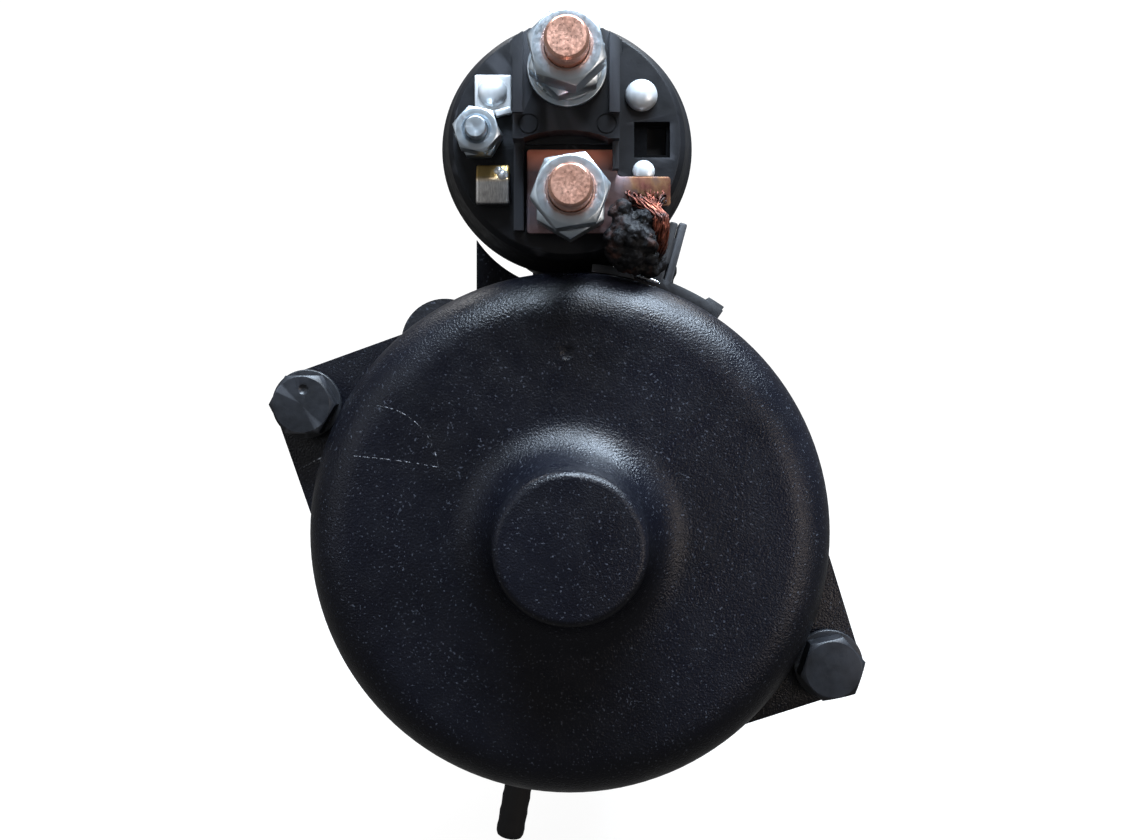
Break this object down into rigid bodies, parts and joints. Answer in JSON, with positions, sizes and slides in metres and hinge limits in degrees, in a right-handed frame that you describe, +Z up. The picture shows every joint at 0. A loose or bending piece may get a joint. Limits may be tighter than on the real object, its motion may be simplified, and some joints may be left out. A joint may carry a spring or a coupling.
{
  "type": "starter motor",
  "caption": "Heavy-duty starter motor with a piggyback solenoid: round rear cover, yoke, flanged nose housing and a sliding pinion driven through a shift lever.",
  "frame": {"origin": "on the shaft's axis, in the mounting flange's front face", "axes": "+Y along the shaft towards the pinion and the engine, +Z up from the shaft to the solenoid, so +X is to the right when the rear cover is looked at"},
  "size_m": [0.135, 0.2849, 0.2111],
  "materials": {
    "rear_cover": "fine-textured satin black paint over a casting",
    "rear_bush": "sintered bronze",
    "yoke": "satin black paint over steel",
    "pole_shoe_1": "machined steel",
    "pole_shoe_2": "machined steel",
    "pole_shoe_3": "machined steel",
    "pole_shoe_4": "machined steel",
    "field_winding": "varnished copper winding",
    "brush_plate": "zinc-plated steel",
    "through_bolt_left": "black-finished steel",
    "through_bolt_right": "black-finished steel",
    "bolt_washer_left": "black-finished steel",
    "bolt_washer_right": "black-finished steel",
    "drive_housing": "satin black paint over cast iron",
    "nose_bush": "sintered bronze",
    "centre_bearing_plate": "plain casting",
    "lever_pin": "machined steel",
    "solenoid_saddle": "satin black paint over steel",
    "drain_tube": "matt black rubber",
    "solenoid_can": "satin black paint over steel",
    "solenoid_coil": "varnished copper winding",
    "solenoid_core": "machined steel",
    "solenoid_cap": "moulded black insulating plastic",
    "battery_stud": "bare copper",
    "battery_washer": "zinc-plated steel",
    "battery_spring_washer": "zinc-plated steel",
    "battery_nut_lower": "zinc-plated steel",
    "battery_nut_upper": "zinc-plated steel",
    "motor_stud": "bare copper",
    "motor_terminal_plate": "bare copper",
    "motor_nut_lower": "zinc-plated steel",
    "motor_nut_upper": "zinc-plated steel",
    "switch_stud": "zinc-plated steel",
    "switch_nut_lower": "zinc-plated steel",
    "switch_nut_upper": "zinc-plated steel",
    "coil_tab_upper_left": "tin solder",
    "coil_tab_lower_left": "zinc-plated steel",
    "coil_rivet_right": "tin solder",
    "motor_lead": "bare copper",
    "lead_insulator": "matt black rubber",
    "lead_grommet": "matt black rubber",
    "lead_clip": "black-finished steel",
    "plunger_spring": "zinc-plated steel",
    "armature_shaft": "machined steel",
    "armature_core": "machined steel",
    "armature_winding_rear": "varnished copper winding",
    "armature_winding_front": "varnished copper winding",
    "commutator": "bare copper",
    "stop_ring": "machined steel",
    "drive_sleeve": "machined steel",
    "clutch_drum": "machined steel",
    "pinion": "machined steel",
    "shift_lever": "machined steel",
    "plunger": "machined steel",
    "contact_rod": "machined steel",
    "contact_disc": "bare copper",
    "brush_1": "copper-graphite",
    "brush_2": "copper-graphite",
    "brush_3": "copper-graphite",
    "brush_4": "copper-graphite"
  },
  "bodies": {
    "motor": {"rear_cover": "rear_cover", "rear_bush": "rear_bush", "yoke": "yoke", "pole_shoe_1": "pole_shoe_1", "pole_shoe_2": "pole_shoe_2", "pole_shoe_3": "pole_shoe_3", "pole_shoe_4": "pole_shoe_4", "field_winding": "field_winding", "brush_plate": "brush_plate", "through_bolt_left": "through_bolt_left", "through_bolt_right": "through_bolt_right", "bolt_washer_left": "bolt_washer_left", "bolt_washer_right": "bolt_washer_right", "drive_housing": "drive_housing", "nose_bush": "nose_bush", "centre_bearing_plate": "centre_bearing_plate", "lever_pin": "lever_pin", "solenoid_saddle": "solenoid_saddle", "drain_tube": "drain_tube", "solenoid_can": "solenoid_can", "solenoid_coil": "solenoid_coil", "solenoid_core": "solenoid_core", "solenoid_cap": "solenoid_cap", "battery_stud": "battery_stud", "battery_washer": "battery_washer", "battery_spring_washer": "battery_spring_washer", "battery_nut_lower": "battery_nut_lower", "battery_nut_upper": "battery_nut_upper", "motor_stud": "motor_stud", "motor_terminal_plate": "motor_terminal_plate", "motor_nut_lower": "motor_nut_lower", "motor_nut_upper": "motor_nut_upper", "switch_stud": "switch_stud", "switch_nut_lower": "switch_nut_lower", "switch_nut_upper": "switch_nut_upper", "coil_tab_upper_left": "coil_tab_upper_left", "coil_tab_lower_left": "coil_tab_lower_left", "coil_rivet_right": "coil_rivet_right", "motor_lead": "motor_lead", "lead_insulator": "lead_insulator", "lead_grommet": "lead_grommet", "lead_clip": "lead_clip", "plunger_spring": "plunger_spring"},
    "armature": {"armature_shaft": "armature_shaft", "armature_core": "armature_core", "armature_winding_rear": "armature_winding_rear", "armature_winding_front": "armature_winding_front", "commutator": "commutator", "stop_ring": "stop_ring"},
    "drive": {"drive_sleeve": "drive_sleeve", "clutch_drum": "clutch_drum"},
    "pinion": {"pinion": "pinion"},
    "lever": {"shift_lever": "shift_lever"},
    "plunger": {"plunger": "plunger"},
    "contact": {"contact_rod": "contact_rod", "contact_disc": "contact_disc"},
    "brush_1": {"brush_1": "brush_1"},
    "brush_2": {"brush_2": "brush_2"},
    "brush_3": {"brush_3": "brush_3"},
    "brush_4": {"brush_4": "brush_4"}
  },
  "joints": [
    {"name": "armature_spin", "type": "hinge", "parent": "motor", "child": "armature", "pos_m": [0, 0, 0], "axis": [0, 1, 0], "continuous": true},
    {"name": "drive_slide", "type": "slide", "parent": "armature", "child": "drive", "axis": [0, 1, 0], "range_m": [0, 0.014]},
    {"name": "pinion_overrun", "type": "hinge", "parent": "drive", "child": "pinion", "pos_m": [0, 0.02, 0], "axis": [0, 1, 0], "continuous": true},
    {"name": "lever_swing", "type": "hinge", "parent": "motor", "child": "lever", "pos_m": [0, -0.01908, 0.046], "axis": [1, 0, 0], "range_deg": [0, 17.4]},
    {"name": "plunger_slide", "type": "slide", "parent": "motor", "child": "plunger", "axis": [0, -1, 0], "range_m": [0, 0.012], "stiffness_N_per_m": 1500, "springref_m": -0.004, "deforming": ["plunger_spring"]},
    {"name": "contact_slide", "type": "slide", "parent": "motor", "child": "contact", "axis": [0, -1, 0], "range_m": [0, 0.0031]},
    {"name": "brush_1_slide", "type": "slide", "parent": "motor", "child": "brush_1", "axis": [1, 0, 0], "range_m": [0, 0.006], "stiffness_N_per_m": 800, "springref_m": -0.006},
    {"name": "brush_2_slide", "type": "slide", "parent": "motor", "child": "brush_2", "axis": [0, 0, 1], "range_m": [0, 0.006], "stiffness_N_per_m": 800, "springref_m": -0.006},
    {"name": "brush_3_slide", "type": "slide", "parent": "motor", "child": "brush_3", "axis": [-1, 0, 0], "range_m": [0, 0.006], "stiffness_N_per_m": 800, "springref_m": -0.006},
    {"name": "brush_4_slide", "type": "slide", "parent": "motor", "child": "brush_4", "axis": [0, 0, -1], "range_m": [0, 0.006], "stiffness_N_per_m": 800, "springref_m": -0.006}
  ],
  "couplings": [
    {"joint": "lever_swing", "follows": "plunger_slide", "rad_per_m": 25.162},
    {"joint": "drive_slide", "follows": "plunger_slide", "ratio": 1.153},
    {"joint": "contact_slide", "follows": "plunger_slide", "ratio": 0.25}
  ]
}
